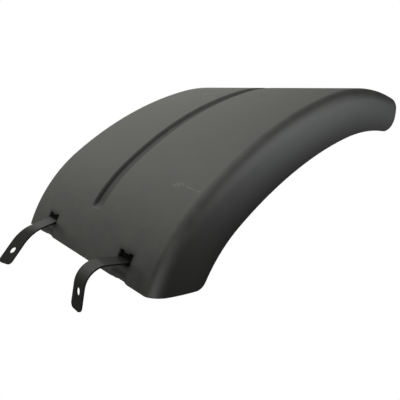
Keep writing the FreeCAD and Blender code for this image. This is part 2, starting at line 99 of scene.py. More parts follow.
def arch_point(length, depth):
    """Side-view points at arc lengths from the far end: the centre plus (radius - depth) spokes."""
    angle = np.interp(length, ARC_ENDS, ARC_ANGLES)
    arc = np.searchsorted(ARC_ENDS[1:-1], length)
    reach = ARC_RADII[arc] - depth
    return ARC_CENTRES[arc] + reach[..., None] * spoke(angle)


print("arch length", round(ARCH_LENGTH, 4), "m, crest at", round(CREST_AT, 4), "m from the far end")

# %% [markdown]
# ## Where the skirt ends
# The far end is cut square to the arch and the lower end nearly level, and both lower corners of
# the skirt are rounded. Towards the far end the skirt's lower edge follows a flatter circle than the
# arch. Cutting the mesh with a boolean would leave ragged faces there. Instead the length of each
# grid line is worked out from its depth: along the straight cut first, then round the corner's
# circle. The grid then ends exactly on the outline.

# %% Ends of the skirt at every depth
FRONT_RADIUS = ARC_RADII[-1]
CROWN_RADIUS = ARC_RADII[0]
SHOULDER = 25 * MM
SKIRT_DEPTH = 82.4 * MM
EDGE_RADIUS = 380 * MM
EDGE_SHIFT = EDGE_RADIUS - (CROWN_RADIUS - SKIRT_DEPTH)
FRONT_CORNER = 20 * MM
REAR_CORNER = 40 * MM
FRONT_TRIM = math.radians(5)
CORNER_POINTS = 200
END_SPOKE = FRONT_RADIUS * spoke(ARC_ANGLES[-1])
TRIM_WAY = np.array([math.cos(FRONT_TRIM), -math.sin(FRONT_TRIM)])
TRIM_UP = np.array([math.sin(FRONT_TRIM), math.cos(FRONT_TRIM)])


def along_trim(start, reach):
    """Distance along the trim line, from start, at which a circle of this reach is met."""
    toward = start @ TRIM_WAY
    return -toward - np.sqrt(toward ** 2 - start @ start + np.square(reach))


def turned(point):
    """Angle of a point from the vertical, towards the lower end."""
    return np.arctan2(-point[..., 0], point[..., 1])


def corner_angle(reach, inner_reach, corner):
    """Half angle that a corner's circle spans at each reach, by the cosine rule."""
    to_centre = inner_reach + corner
    cosine = (reach ** 2 + to_centre ** 2 - corner ** 2) / (2 * reach * to_centre)
    return np.arccos(np.clip(cosine, -1, 1))


def near_end(depth):
    """Arc length at which the lower end lies at each depth."""
    reach = FRONT_RADIUS - depth
    on_line = END_SPOKE + along_trim(END_SPOKE, reach)[..., None] * TRIM_WAY
    inner = FRONT_RADIUS - SKIRT_DEPTH
    raised = END_SPOKE + FRONT_CORNER * TRIM_UP
    step = along_trim(raised, inner + FRONT_CORNER)
    corner_starts = FRONT_RADIUS - np.linalg.norm(END_SPOKE + step * TRIM_WAY)
    round_corner = turned(raised + step * TRIM_WAY) + corner_angle(reach, inner, FRONT_CORNER)
    angle = np.where(depth > corner_starts, round_corner, turned(on_line))
    return ARCH_LENGTH + FRONT_RADIUS * (angle - ARC_ANGLES[-1])


def skirt_share(length):
    """Depth of the skirt below the shoulder, as a share: less than 1 where the edge is flatter."""
    turn = np.clip(ARC_ANGLES[1] - np.interp(length, ARC_ENDS, ARC_ANGLES), 0, None)
    reach = np.sqrt(EDGE_RADIUS ** 2 - (EDGE_SHIFT * np.sin(turn)) ** 2) - EDGE_SHIFT * np.cos(turn)
    return (CROWN_RADIUS - reach - SHOULDER) / (SKIRT_DEPTH - SHOULDER)


def rear_corner():
    """Points round the far corner as (length, depth): its circle touches the end and the edge."""
    end_way = spoke(ARC_ANGLES[0])
    inward = np.array([-end_way[1], end_way[0]])
    start = REAR_CORNER * inward + EDGE_SHIFT * spoke(ARC_ANGLES[1])
    toward = start @ end_way
    step = -toward + math.sqrt(toward ** 2 - start @ start + (EDGE_RADIUS + REAR_CORNER) ** 2)
    centre = REAR_CORNER * inward + step * end_way
    last = -(start + step * end_way) / (EDGE_RADIUS + REAR_CORNER)
    quarter = math.acos(-inward @ last)
    turn = np.linspace(0, quarter, CORNER_POINTS)[:, None]
    square = (last + inward * math.cos(quarter)) / math.sin(quarter)
    points = centre + REAR_CORNER * (square * np.sin(turn) - inward * np.cos(turn))
    length = CROWN_RADIUS * (turned(points) - ARC_ANGLES[0])
    return length, CROWN_RADIUS - np.linalg.norm(points, axis=-1)


def far_end(depth):
    """Arc length at which the far end lies at each full depth: a spoke, then the corner."""
    length, deep = rear_corner()
    full_depth = SHOULDER + (deep - SHOULDER) / skirt_share(length)
    return np.interp(depth, full_depth, length, left=0.0)


print("skirt edge runs from", np.round(far_end(np.array([SKIRT_DEPTH])), 3),
      "to", np.round(near_end(np.array([SKIRT_DEPTH])), 3))

# %% [markdown]
# ## Grid lines of the shell
# The shell is one sheet: a section across the guard, carried along the arch. The section starts at
# the free edge with a small round, crosses the flat panel, turns down the shoulder on a quarter
# circle and runs down the skirt. The skirt is slightly convex, a shallow parabola, and the shoulder
# is eased into its slope, because a break there would show as a line in the sheen. Lines lie close
# together where the form is tight, and they pass exactly through the sides of the slots, so a slot
# is made by leaving cells out.

# %% Places of the bead, the slots, the channels and the notches
FREE_Y = shell_high.y
SKIRT_Y = shell_low.y
BEAD_NEAR = 6 * MM
BEAD_FAR = 40.5 * MM
BEAD_SIDE = 7 * MM
BEAD_SKEW = 11 * MM
SKEW_START = 320 * MM
SKEW_POWER = 1.3
BEAD_STOP_ANGLE = math.radians(49.5)
BEAD_RUNOUT = 26 * MM
STRAP_INSET = 98.7 * MM
STRAP_SPACING = 277.5 * MM
STRAP_Y = SKIRT_Y + STRAP_INSET + np.array([0.0, STRAP_SPACING])
SLOT_HALF = 19 * MM
TOOTH_HALF = 7.5 * MM
TOOTH_LENGTH = 2.5 * MM
SLOT_HEIGHT = 19 * MM
SLOT_ANGLE = math.radians(61.6)
CHANNEL_GAP = 8 * MM
CHANNEL_EASE = 12 * MM
NOTCH_HALF = 13.5 * MM
NOTCH_SHIFT = 8.5 * MM
NOTCH_Y = STRAP_Y - NOTCH_SHIFT


def front_length(angle):
    """Arc length from the far end to a place on the front arc."""
    return ARC_ENDS[2] + FRONT_RADIUS * (angle - ARC_ANGLES[2])


BEAD_STOP = front_length(BEAD_STOP_ANGLE)
SLOT_AT = front_length(SLOT_ANGLE)
SLOT_TOP = SLOT_AT - SLOT_HEIGHT / 2
SLOT_BOTTOM = SLOT_AT + SLOT_HEIGHT / 2
CHANNEL_TOP = SLOT_BOTTOM + CHANNEL_GAP
print("bead stops at", round(BEAD_STOP, 4), "m, slots run from", round(SLOT_TOP, 4), "to",
      round(SLOT_BOTTOM, 4), "m along the arch")

# %% Section lines and length lines
WALL = 4 * MM
FREE_ROUND = 2.5 * MM
SKIRT_BELLY = 2.4 * MM
BELLY_AT = 0.6
PANEL_PITCH = 5 * MM
BEAD_PITCH = 0.9 * MM
RUNOUT_PITCH = 1 * MM
SEAT_PITCH = 1.5 * MM
BEAD_MARGIN = 6 * MM
SLOT_MARGIN = 12 * MM
FREE_STEPS = 5
SHOULDER_STEPS = 24
SKIRT_STEPS = 7
CORNER_STEPS = 21
SAME_LINE_DIGITS = 6


def fill(stops, pitch):
    """Lines through every stop, with equal steps of at most pitch from one stop to the next."""
    runs = []
    for start, end in zip(stops[:-1], stops[1:]):
        count = max(1, math.ceil(abs(end - start) / pitch))
        runs.append(np.linspace(start, end, count, endpoint=False))
    return np.concatenate(runs + [stops[-1:]])


def section_lines():
    """Outer and inner section, each as (y, depth) rows from the free edge to the skirt's edge."""
    panel_end = SKIRT_Y + SHOULDER
    seat_sides = np.concatenate([STRAP_Y + side * half for side in (-1, 1)
                                 for half in (SLOT_HALF, TOOTH_HALF, SLOT_HALF + CHANNEL_EASE)]
                                + [NOTCH_Y - NOTCH_HALF, NOTCH_Y + NOTCH_HALF])
    bead_sides = np.array([BEAD_NEAR - BEAD_SKEW, BEAD_FAR])
    stops = np.sort(np.concatenate([seat_sides, bead_sides, [panel_end, FREE_Y - FREE_ROUND]]))
    coarse = fill(stops[::-1], PANEL_PITCH)
    fine = fill(bead_sides[::-1], BEAD_PITCH)
    panel = np.unique(np.concatenate([coarse, fine]).round(SAME_LINE_DIGITS))[::-1]
    turn = np.linspace(0, np.pi / 2, FREE_STEPS + 1)[:-1]
    free = np.stack([FREE_Y - FREE_ROUND * (1 - np.cos(turn)),
                     FREE_ROUND * (1 - np.sin(turn))], axis=1)
    bend = np.linspace(0, np.pi / 2, SHOULDER_STEPS + 1)[1:]
    corner = np.linspace(0, np.pi / 2, CORNER_STEPS + 1)
    above_corner = np.linspace(SHOULDER, SKIRT_DEPTH - REAR_CORNER, SKIRT_STEPS + 1)[1:-1]
    skirt = np.concatenate([above_corner, SKIRT_DEPTH - REAR_CORNER * (1 - np.sin(corner))])
    drop_height = SKIRT_DEPTH - SHOULDER
    belly = SKIRT_BELLY * np.square((skirt - SHOULDER) / (BELLY_AT * drop_height) - 1)
    top_slope = 2 * SKIRT_BELLY / (BELLY_AT * drop_height)
    eased_in = np.sin(bend) * (SKIRT_BELLY + top_slope * SHOULDER * (np.pi / 2 - bend))

    def chain(start, panel_depth, wall):
        """One side of the wall: free edge, panel, shoulder and skirt in a row."""
        arc = np.stack([panel_end - (SHOULDER - wall) * np.sin(bend) + eased_in,
                        SHOULDER - (SHOULDER - wall) * np.cos(bend)], axis=1)
        flat = np.stack([panel, np.full_like(panel, panel_depth)], axis=1)
        drop = np.stack([SKIRT_Y + wall + belly, skirt], axis=1)
        return np.concatenate([start, flat, arc, drop])

    under = np.stack([free[:, 0], np.full(len(free), WALL)], axis=1)
    return chain(free, 0.0, 0.0), chain(under, WALL, WALL)


outer_section, inner_section = section_lines()
length_lines = np.concatenate([
    fill(np.array([0.0, BEAD_STOP - BEAD_MARGIN]), PANEL_PITCH)[:-1],
    fill(np.array([BEAD_STOP - BEAD_MARGIN, BEAD_STOP + BEAD_RUNOUT]), RUNOUT_PITCH)[:-1],
    fill(np.array([BEAD_STOP + BEAD_RUNOUT, SLOT_TOP - SLOT_MARGIN]), PANEL_PITCH)[:-1],
    fill(np.array([SLOT_TOP - SLOT_MARGIN, SLOT_TOP, SLOT_TOP + TOOTH_LENGTH, SLOT_BOTTOM,
                   CHANNEL_TOP, CHANNEL_TOP + CHANNEL_EASE, ARCH_LENGTH]), SEAT_PITCH)])
print("shell grid:", len(length_lines), "by", len(outer_section), "lines")

# %% [markdown]
# ## Pressed forms
# A long bead is pressed into the panel to stiffen it, and below each slot a shallow channel lets
# the strap lie back against the shell. Both follow the panel, so they are not separate pieces but
# a depth added to the sheet at each grid point. Eased steps stand for the radii of the tool.

# %% Depth of the bead, the channels and the notches
BEAD_DEPTH = 6 * MM
BEAD_LAP = 1 * MM
LIP_ROUNDNESS = 1.4
CHANNEL_DEPTH = 2.5 * MM
NOTCH_DEPTH = 1.3 * MM
NOTCH_EASE = 1.5 * MM


def eased(value):
    """Smooth step: 0 below 0, 1 above 1, level at both ends."""
    held = np.clip(value, 0, 1)
    return held * held * (3 - 2 * held)


def border(inside, width):
    """Smooth step across a border: 0 outside, 1 inside, and half way on the border itself."""
    return eased(inside / width + 0.5)


def straightened(length, across):
    """Place across, measured from the bead: its lower half runs at a slant towards the skirt."""
    past = np.clip((length - SKEW_START) / (BEAD_STOP - SKEW_START), 0, None)
    return across + BEAD_SKEW * past ** SKEW_POWER


def bead(length, across, lap):
    """Bead depth: two sides with round lips, and a floor that lifts at the end."""
    place = straightened(length, across)
    from_side = np.minimum(place - BEAD_NEAR, BEAD_FAR - place) + lap
    pressed = eased(np.clip(from_side / BEAD_SIDE, 0, 1) ** LIP_ROUNDNESS)
    past = np.clip(length - BEAD_STOP, 0, BEAD_RUNOUT)
    lift = BEAD_RUNOUT - np.sqrt(BEAD_RUNOUT ** 2 - past ** 2)
    return np.clip(BEAD_DEPTH * pressed - lift, 0, None)


def nearest(across, centres):
    """Distance across to the nearest of several centre planes."""
    return np.abs(across[..., None] - centres).min(axis=-1)


def channel(length, across, lap):
    """Channel depth: eased in below the slot and at both sides, and open at the lower edge."""
    down = eased((length - CHANNEL_TOP + lap) / CHANNEL_EASE)
    side = border(SLOT_HALF + lap - nearest(across, STRAP_Y), CHANNEL_EASE)
    return CHANNEL_DEPTH * down * side


def notch(length, across):
    """How far the lower edge is cut back at each strap, fading out towards the slot."""
    fade = np.clip((length - CHANNEL_TOP) / (ARCH_LENGTH - CHANNEL_TOP), 0, 1)
    side = border(NOTCH_HALF - nearest(across, NOTCH_Y), NOTCH_EASE)
    return NOTCH_DEPTH * fade * side


def grid_places(section):
    """Arc length, place across and plain depth where every length line meets every section line."""
    across, sunk = section[:, 0], section[:, 1]
    start, end = far_end(sunk), near_end(sunk)
    length = start + (length_lines / ARCH_LENGTH)[:, None] * (end - start)
    across = np.broadcast_to(across, length.shape)
    length = length - notch(length, across)
    below_shoulder = np.clip(sunk - SHOULDER, 0, None)
    level = np.minimum(sunk, SHOULDER) + below_shoulder * skirt_share(length)
    return length, across, level


def sheet(section, lap):
    """Grid of points: the plain section, sunk by the pressed forms."""
    length, across, level = grid_places(section)
    depth = level + bead(length, across, lap) + channel(length, across, lap)
    side_view = arch_point(length, depth)
    return np.stack([side_view[..., 0], across, side_view[..., 1]], axis=-1)


outer_sheet = sheet(outer_section, 0.0)
inner_sheet = sheet(inner_section, BEAD_LAP)
apart = np.linalg.norm(outer_sheet - inner_sheet, axis=-1)
print("the sheets lie", round(apart.min() / MM, 2), "to", round(apart.max() / MM, 2), "mm apart")

# %% [markdown]
# ## From grids to a closed wall
# Solidify could thicken one sheet, but the inside of the bead has its own radii, so both sides are
# made and joined. A rim is needed along every edge that only one kept cell uses: the outline, and
# each slot with its tooth. Comparing the directed edges of all cells finds them without a search.

# %% Join two sheets into one solid wall


def slot_cells():
    """True for the cells that lie in a slot, apart from the tooth that hangs from its top."""
    middle = (length_lines[1:] + length_lines[:-1])[:, None] / 2
    across = nearest((outer_section[1:, 0] + outer_section[:-1, 0]) / 2, STRAP_Y)[None]
    in_slot = (middle > SLOT_TOP) & (middle < SLOT_BOTTOM) & (across < SLOT_HALF)
    tooth = (middle < SLOT_TOP + TOOTH_LENGTH) & (across < TOOTH_HALF)
    return in_slot & ~tooth


def wall_faces(shape, kept):
    """Kept cells outside, the same cells turned over inside, and a rim along each open edge."""
    count = shape[0] * shape[1]
    index = np.arange(count).reshape(shape)
    cells = np.stack([index[:-1, :-1], index[1:, :-1], index[1:, 1:], index[:-1, 1:]], axis=-1)[kept]
    edges = np.stack([cells, np.roll(cells, -1, axis=1)], axis=-1).reshape(-1, 2)
    key = edges[:, 0] * count + edges[:, 1]
    back = edges[:, 1] * count + edges[:, 0]
    rim = edges[~np.isin(back, key)]
    rim_faces = np.stack([rim[:, 1], rim[:, 0], rim[:, 0] + count, rim[:, 1] + count], axis=1)
    return np.concatenate([cells, cells[:, ::-1] + count, rim_faces])


shell_faces = wall_faces(outer_sheet.shape[:2], ~slot_cells())
print("wall and rim:", len(shell_faces), "faces")

# %% Mesh objects from arrays
SHARP_DEGREES = 40
EDGE_ROUND = 1.2 * MM
EDGE_SEGMENTS = 3
EDGE_DEGREES = 50


def mesh_piece(name, points, faces, painted_shade):
    """A linked object from arrays, smooth except at sharp edges, with the painted shade at each point."""
    used, corners = np.unique(faces, return_inverse=True)
    mesh = bpy.data.meshes.new(name)
    mesh.from_pydata(points[used].tolist(), [], corners.reshape(faces.shape).tolist())
    mesh.validate()
    mesh.shade_smooth()
    mesh.set_sharp_from_angle(angle=math.radians(SHARP_DEGREES))
    # Stored on each point: how much painted shade darkens the colour there.
    shade_layer = mesh.attributes.new("painted_shade", "FLOAT", "POINT")
    shade_layer.data.foreach_set("value", painted_shade[used])
    piece = bpy.data.objects.new(name, mesh)
    bpy.context.scene.collection.objects.link(piece)
    return piece


def soften(piece):
    """Round the edges that are sharper than an angle."""
    bevel = piece.modifiers.new("edge_round", "BEVEL")
    bevel.width = EDGE_ROUND
    bevel.segments = EDGE_SEGMENTS
    bevel.limit_method = "ANGLE"
    bevel.angle_limit = math.radians(EDGE_DEGREES)
    bevel.harden_normals = True


# %% [markdown]
# ## Painted shade in the creases
# The floor and both sides of the bead and the rims of the slots are darker than the panel, where
# shade falls into the creases, and faint darker lines run down the channels. That shade could be
# painted by hand. The grid knows how far each point is from these forms, so the painted shade is
# worked out for all points at once and stored on the mesh as an attribute, which the finish reads
# later to darken the colour.

# %% Painted shade at every point, and the finished shell
# Strengths and widths of the painted shade in the bead and round the slots, and of the darker lines in the
# channels.
FLOOR_SHADE = 0.32
FOOT_SHADE = 1.3
FOOT_WIDTH = 3 * MM
FOOT_PLACE = 0.7
LIP_SHADE = 1.0
LIP_WIDTH = 2.5 * MM
LIP_PLACE = 0.3
SLOT_SHADE = 0.8
SLOT_HALO = 4 * MM
STREAK_Y = np.array([-125.5, -133.0, 152.0]) * MM
STREAK_WIDTH = 2 * MM
STREAK_DARKNESS = 0.4


def painted_shade_share(section):
    """Share of painted shade: on the bead's floor and along both its sides, round the slots; darker lines
    in the channels.
    """
    length, across = grid_places(section)[:2]
    # Painted shade on the bead's floor, at the foot of its far side and below its near lip.
    deep = bead(length, across, 0.0) / BEAD_DEPTH
    place = straightened(length, across)
    from_foot = place - BEAD_FAR + BEAD_SIDE * FOOT_PLACE
    foot = FOOT_SHADE * np.square(length / ARCH_LENGTH) * np.exp(-np.square(from_foot / FOOT_WIDTH))
    from_lip = place - BEAD_NEAR - BEAD_SIDE * LIP_PLACE
    before_end = 1 - eased((length - BEAD_STOP) / (BEAD_RUNOUT / 2))
    near_lip = LIP_SHADE * before_end * np.exp(-np.square(from_lip / LIP_WIDTH))
    in_bead = np.maximum(deep * (FLOOR_SHADE + foot), near_lip)
    # Painted shadow round each slot, fading away from its rim.
    beside = np.clip(nearest(across, STRAP_Y) - SLOT_HALF, 0, None)
    above_or_below = np.clip(np.abs(length - SLOT_AT) - SLOT_HEIGHT / 2, 0, None)
    at_slot = SLOT_SHADE * np.exp(-np.hypot(beside, above_or_below) / SLOT_HALO)
    streak = np.exp(-np.square(nearest(across, STREAK_Y) / STREAK_WIDTH))
    in_channel = channel(length, across, 0.0) / CHANNEL_DEPTH * STREAK_DARKNESS * streak
    return np.clip(np.maximum(in_bead, at_slot) + in_channel, 0, 1)


shell_points = np.concatenate([outer_sheet.reshape(-1, 3), inner_sheet.reshape(-1, 3)])
shell_shade = np.concatenate([painted_shade_share(section).ravel() for section in (outer_section, inner_section)])
shell = mesh_piece("moulded_shell", shell_points, shell_faces, shell_shade)
soften(shell)
print("shell:", len(shell.data.vertices), "points,", len(shell.data.polygons), "faces")

# %% [markdown]
# ## The straps
# Each strap is a flat rubber strip with a hole near its free end. At the other end a plate sits
# behind the slot, closes it and keeps the strap from pulling through. Its faces behind the wall are
# near black, painted shade that makes the slot dark. The strip is a section carried along a path:
# straight neck, one bend, straight tail. It could be one loft with a hole cut by a boolean. Here it
# is two mirrored halves, so that the hole is only a place where they do not meet, and the plate is
# the same section grown wide and tall behind the wall.

# %% Path of a strap
STRAP_THICK = 3 * MM
STRAP_ANGLE = math.radians(62.2)
WALL_WAY = spoke(np.array(STRAP_ANGLE))
CROSSING = ARC_CENTRES[-1] + (FRONT_RADIUS - WALL / 2) * WALL_WAY
# The last entry of each shape is where the painted shade on the tail begins.
NEAR_SHAPE = {"neck_angle": math.radians(9), "neck": 37.5 * MM, "bend_radius": 35 * MM,
              "bend_angle": math.radians(87), "tail": 36.5 * MM, "lean": math.radians(-1.2),
              "shaded_from": 58 * MM}
FAR_SHAPE = {"neck_angle": math.radians(-5.7), "neck": 41 * MM, "bend_radius": 82 * MM,
             "bend_angle": math.radians(35), "tail": 43.5 * MM, "lean": math.radians(19.3),
             "shaded_from": 36 * MM}


def along(angle):
    """Unit vector (x, z) in the side view at an angle from the horizontal."""
    return np.stack([np.cos(angle), np.sin(angle)], axis=-1)


def bend_length(shape):
    """Length of the strip's middle line in the bend."""
    return (shape["bend_radius"] - STRAP_THICK / 2) * shape["bend_angle"]


def strap_path(length, shape):
    """Side-view points and upward normals along the strip's middle, from the wall of the slot."""
    heading = math.pi - shape["neck_angle"]
    radius = shape["bend_radius"] - STRAP_THICK / 2
    in_neck = np.minimum(length, shape["neck"])
    in_bend = np.clip(length - shape["neck"], 0, bend_length(shape))
    in_tail = np.clip(length - shape["neck"] - bend_length(shape), 0, None)
    angle = heading + in_bend / radius
    up = along(angle - np.pi / 2)
    first_up = along(np.array(heading - np.pi / 2))
    straight = in_neck[..., None] * along(np.array(heading)) + in_tail[..., None] * along(angle)
    return CROSSING + straight + radius * (up - first_up), up


def wall_shear(shape):
    """How the length has to change with height and with width for a row to lie along the wall."""
    heading = math.pi - shape["neck_angle"]
    turn = np.array([math.cos(shape["lean"]), 1.0])
    through = WALL_WAY @ (along(np.array(heading)) * turn)
    by_height = -(WALL_WAY @ (along(np.array(heading - math.pi / 2)) * turn)) / through
    by_width = WALL_WAY[0] * math.sin(shape["lean"]) / through
    return through, by_height, by_width


for shape in (NEAR_SHAPE, FAR_SHAPE):
    print("a strap bends over", round(bend_length(shape) / MM, 1), "mm of its length")

# %% Section of a strap, row by row
STRAP_HALF = 16.5 * MM
STRAP_CORNER = 8 * MM
STRAP_EDGE = 0.7 * MM
HOLE_RADIUS = 6.5 * MM
HOLE_INSET = 27.7 * MM
HEAD_HALF = 25 * MM
HEAD_HEIGHT = 24 * MM
HEAD_THICK = 4 * MM
HEAD_CLEARANCE = 0.1 * MM
HEAD_RAISED = FRONT_RADIUS * (STRAP_ANGLE - SLOT_ANGLE)
GRIP_INSET = np.array([7.0, 12.0]) * MM
GRIP_HALF = 1.6 * MM
GRIP_HEIGHT = 0.4 * MM
NECK_PITCH = 3 * MM
TAIL_PITCH = 2 * MM
HOLE_MARGIN = 1 * MM
HOLE_STEPS = 24
GRIP_STEPS = 8
TIP_STEPS = 8
TIP_SHARE = 1 - 1e-4
FLAT_STEPS = 7
EDGE_STEPS = 4
SAME_ROW_DIGITS = 7


def strap_rows(shape):
    """Along the strip: place, half width, half height, raise, hole half width and grip height."""
    through = wall_shear(shape)[0]
    head_top = -(WALL / 2 + HEAD_CLEARANCE) / through
    head_bottom = head_top - HEAD_THICK / through
    total = shape["neck"] + bend_length(shape) + shape["tail"]
    hole_at = total - HOLE_INSET
    round_hole = hole_at + HOLE_RADIUS * np.sin(np.linspace(-np.pi / 2, np.pi / 2, HOLE_STEPS + 1))
    grips = total - GRIP_INSET[:, None] + GRIP_HALF * np.linspace(-1, 1, GRIP_STEPS + 1)
    corner = total - STRAP_CORNER * (1 - TIP_SHARE * np.sin(np.linspace(0, np.pi / 2, TIP_STEPS + 1)))
    strip = np.concatenate([
        [head_top], np.arange(0, hole_at - HOLE_RADIUS, NECK_PITCH), round_hole,
        np.arange(hole_at + HOLE_RADIUS + HOLE_MARGIN, total - STRAP_CORNER, TAIL_PITCH),
        grips.ravel(), corner])
    strip = np.unique(strip.round(SAME_ROW_DIGITS))
    inset = np.clip(strip - (total - STRAP_CORNER), 0, STRAP_CORNER)
    half = STRAP_HALF - STRAP_CORNER + np.sqrt(STRAP_CORNER ** 2 - inset ** 2)
    hole = np.sqrt(np.clip(HOLE_RADIUS ** 2 - (strip - hole_at) ** 2, 0, None))
    rise = 1 - np.abs(strip[:, None] - (total - GRIP_INSET)) / GRIP_HALF
    grip = GRIP_HEIGHT * eased(rise).max(axis=1)
    columns = np.stack([strip, half, np.full_like(strip, STRAP_THICK / 2), 0 * strip, hole, grip])
    head_column = [HEAD_HALF, HEAD_HEIGHT / 2 * through, HEAD_RAISED * through, 0.0, 0.0]
    head = np.array([[place] + head_column for place in (head_bottom, head_top)]).T
    return np.concatenate([head, columns], axis=1)[:, :, None]


def half_section(half, thick, raised, hole, grip):
    """Half of the strip's section, from the middle of the top round the side to the bottom."""
    flat = np.linspace(0, 1, FLAT_STEPS + 1)
    turn = np.linspace(0, np.pi / 2, EDGE_STEPS + 1)[1:]
    edge = np.minimum(STRAP_EDGE, thick / 2)
    top_across = hole + (half - edge - hole) * flat
    side_across = half - edge + edge * np.sin(turn)
    across = np.concatenate([top_across, side_across, side_across[:, ::-1], top_across[:, ::-1]], axis=1)
    top_up = np.broadcast_to(thick, top_across.shape) + grip
    side_up = thick - edge + edge * np.cos(turn)
    bottom_up = np.broadcast_to(-thick, top_across.shape)
    up = np.concatenate([top_up, side_up, -side_up[:, ::-1], bottom_up], axis=1)
    return across, up + raised


def strap_faces(row_count, ring, hole):
    """Faces of one half strip: its skin, the wall of the hole, and a cap at each end."""
    index = np.arange(row_count * ring).reshape(row_count, ring)
    skin = np.stack([index[:-1, :-1], index[:-1, 1:], index[1:, 1:], index[1:, :-1]], -1).reshape(-1, 4)
    open_hole = (hole[:-1] > 0) | (hole[1:] > 0)
    hole_wall = np.stack([index[:-1, -1], index[:-1, 0], index[1:, 0], index[1:, -1]], -1)[open_hole]
    first, second = np.arange(ring // 2 - 1), np.arange(1, ring // 2)
    root_cap = np.stack([index[0, first], index[0, ring - 1 - first],
                         index[0, ring - 1 - second], index[0, second]], -1)
    tail_cap = np.stack([index[-1, first], index[-1, second],
                         index[-1, ring - 1 - second], index[-1, ring - 1 - first]], -1)
    return np.concatenate([skin, hole_wall, root_cap, tail_cap])


print("rows along the near strap:", strap_rows(NEAR_SHAPE).shape[1])

# %% Build the two straps
# Painted shade on the tail, which faces away from the light, and how far it takes to grow in.
TAIL_SHADE = 0.9
TAIL_SHADE_EASE = 35 * MM
WELD_REACH = 0.01 * MM


def part_plate(mesh):
    """Second material, near black as painted shade in the slot, for the faces that lie behind the middle of
    the shell's wall.
    """
    centres = np.empty(3 * len(mesh.polygons))
    mesh.polygons.foreach_get("center", centres)
    side_view = centres.reshape(-1, 3)[:, [0, 2]] - ARC_CENTRES[-1]
    behind = np.linalg.norm(side_view, axis=1) < FRONT_RADIUS - WALL / 2
    mesh.polygons.foreach_set("material_index", behind.astype(np.int32))


def make_strap(name, shape, centre_y):
    """Two mirrored half strips, turned about the vertical by the strap's lean, then joined."""
    rows, *section = strap_rows(shape)
    across, up = half_section(*section)
    by_height, by_width = wall_shear(shape)[1:]
    near_wall = eased(1 - rows / shape["neck"])
    faces = strap_faces(*across.shape, section[3][:, 0])
    points, all_faces = [], []
    for side in (1, -1):
        length = rows + near_wall * (by_height * up + by_width * side * across)
        middle, normal = strap_path(length, shape)
        side_view = middle + up[..., None] * normal
        ahead = side_view[..., 0] - CROSSING[0]
        x = CROSSING[0] + ahead * math.cos(shape["lean"]) - side * across * math.sin(shape["lean"])
        y = centre_y + ahead * math.sin(shape["lean"]) + side * across * math.cos(shape["lean"])
        points.append(np.stack([x, y, side_view[..., 1]], -1).reshape(-1, 3))
        all_faces.append((faces if side > 0 else faces[:, ::-1]) + len(all_faces) * across.size)
    points = np.concatenate(points)
    # Painted shade: darker towards the free end of the tail, which faces away from the light.
    tail_shade = eased((rows - shape["shaded_from"]) / TAIL_SHADE_EASE)
    painted_shade = np.tile(np.broadcast_to(TAIL_SHADE * tail_shade, across.shape).ravel(), 2)
    piece = mesh_piece(name, points, np.concatenate(all_faces), painted_shade)
    part_plate(piece.data)
    weld = piece.modifiers.new("join_halves", "WELD")
    weld.merge_threshold = WELD_REACH
    total = float(rows[-1, 0] - rows[0, 0])
    print(name, len(piece.data.vertices), "points, length", round(total / MM, 1), "mm")
    return piece


near_strap = make_strap("near_strap", NEAR_SHAPE, STRAP_Y[0])
far_strap = make_strap("far_strap", FAR_SHAPE, STRAP_Y[1])

# %% [markdown]
# ## Finishes
# The shell is black plastic with the fine grain of its mould, which spreads each reflection into a
# soft sheen. Dust on its upper side mottles it and makes its sheen duller than on the skirt, and
# painted shade darkens the creases. The straps are black rubber, darkened by painted shade towards
# their tails. Each material could have its own nodes, but all of them need the same grain, dust and
# painted shade at other scales, so that is one node group with named inputs. Three helpers make the
# nodes, so that a tree reads like a list of formulas.

# %% Helpers for node trees


def new_group(name, inputs, outputs):
    """An empty shader group with named sockets: the group, the sockets it is given, its last node."""
    group = bpy.data.node_groups.new(name, "ShaderNodeTree")
    for in_out, sockets in (("INPUT", inputs), ("OUTPUT", outputs)):
        for socket, kind in sockets.items():
            group.interface.new_socket(socket, in_out=in_out, socket_type="NodeSocket" + kind)
    return group, group.nodes.new("NodeGroupInput").outputs, group.nodes.new("NodeGroupOutput")


def feed(tree, node, inputs):
    """Link each input whose source is a socket, and set each one whose source is a value."""
    for key, source in inputs.items():
        if isinstance(source, bpy.types.NodeSocket):
            tree.links.new(source, node.inputs[key])
        else:
            node.inputs[key].default_value = source


def add_node(tree, kind, inputs, **settings):
    """A new node of a tree, first with its settings and then with its inputs."""
    node = tree.nodes.new("ShaderNode" + kind)
    for key, value in settings.items():
        setattr(node, key, value)
    feed(tree, node, inputs)
    return node


# %% Shared node group: a moulded surface
GRAIN_DETAIL = 3
CLOUD_DETAIL = 4
CLOUD_LOW = 0.2
CLOUD_HIGH = 0.8
STEEP_NORMAL = 0.05
LEVEL_NORMAL = 0.35
CLEAN_TONE = 0.4
PATCHINESS = 0.04
# Near-black colour and roughness where the painted shade is full.
SHADE_TONE = (0.003, 0.003, 0.003, 1)
SHADE_ROUGHNESS = 0.9


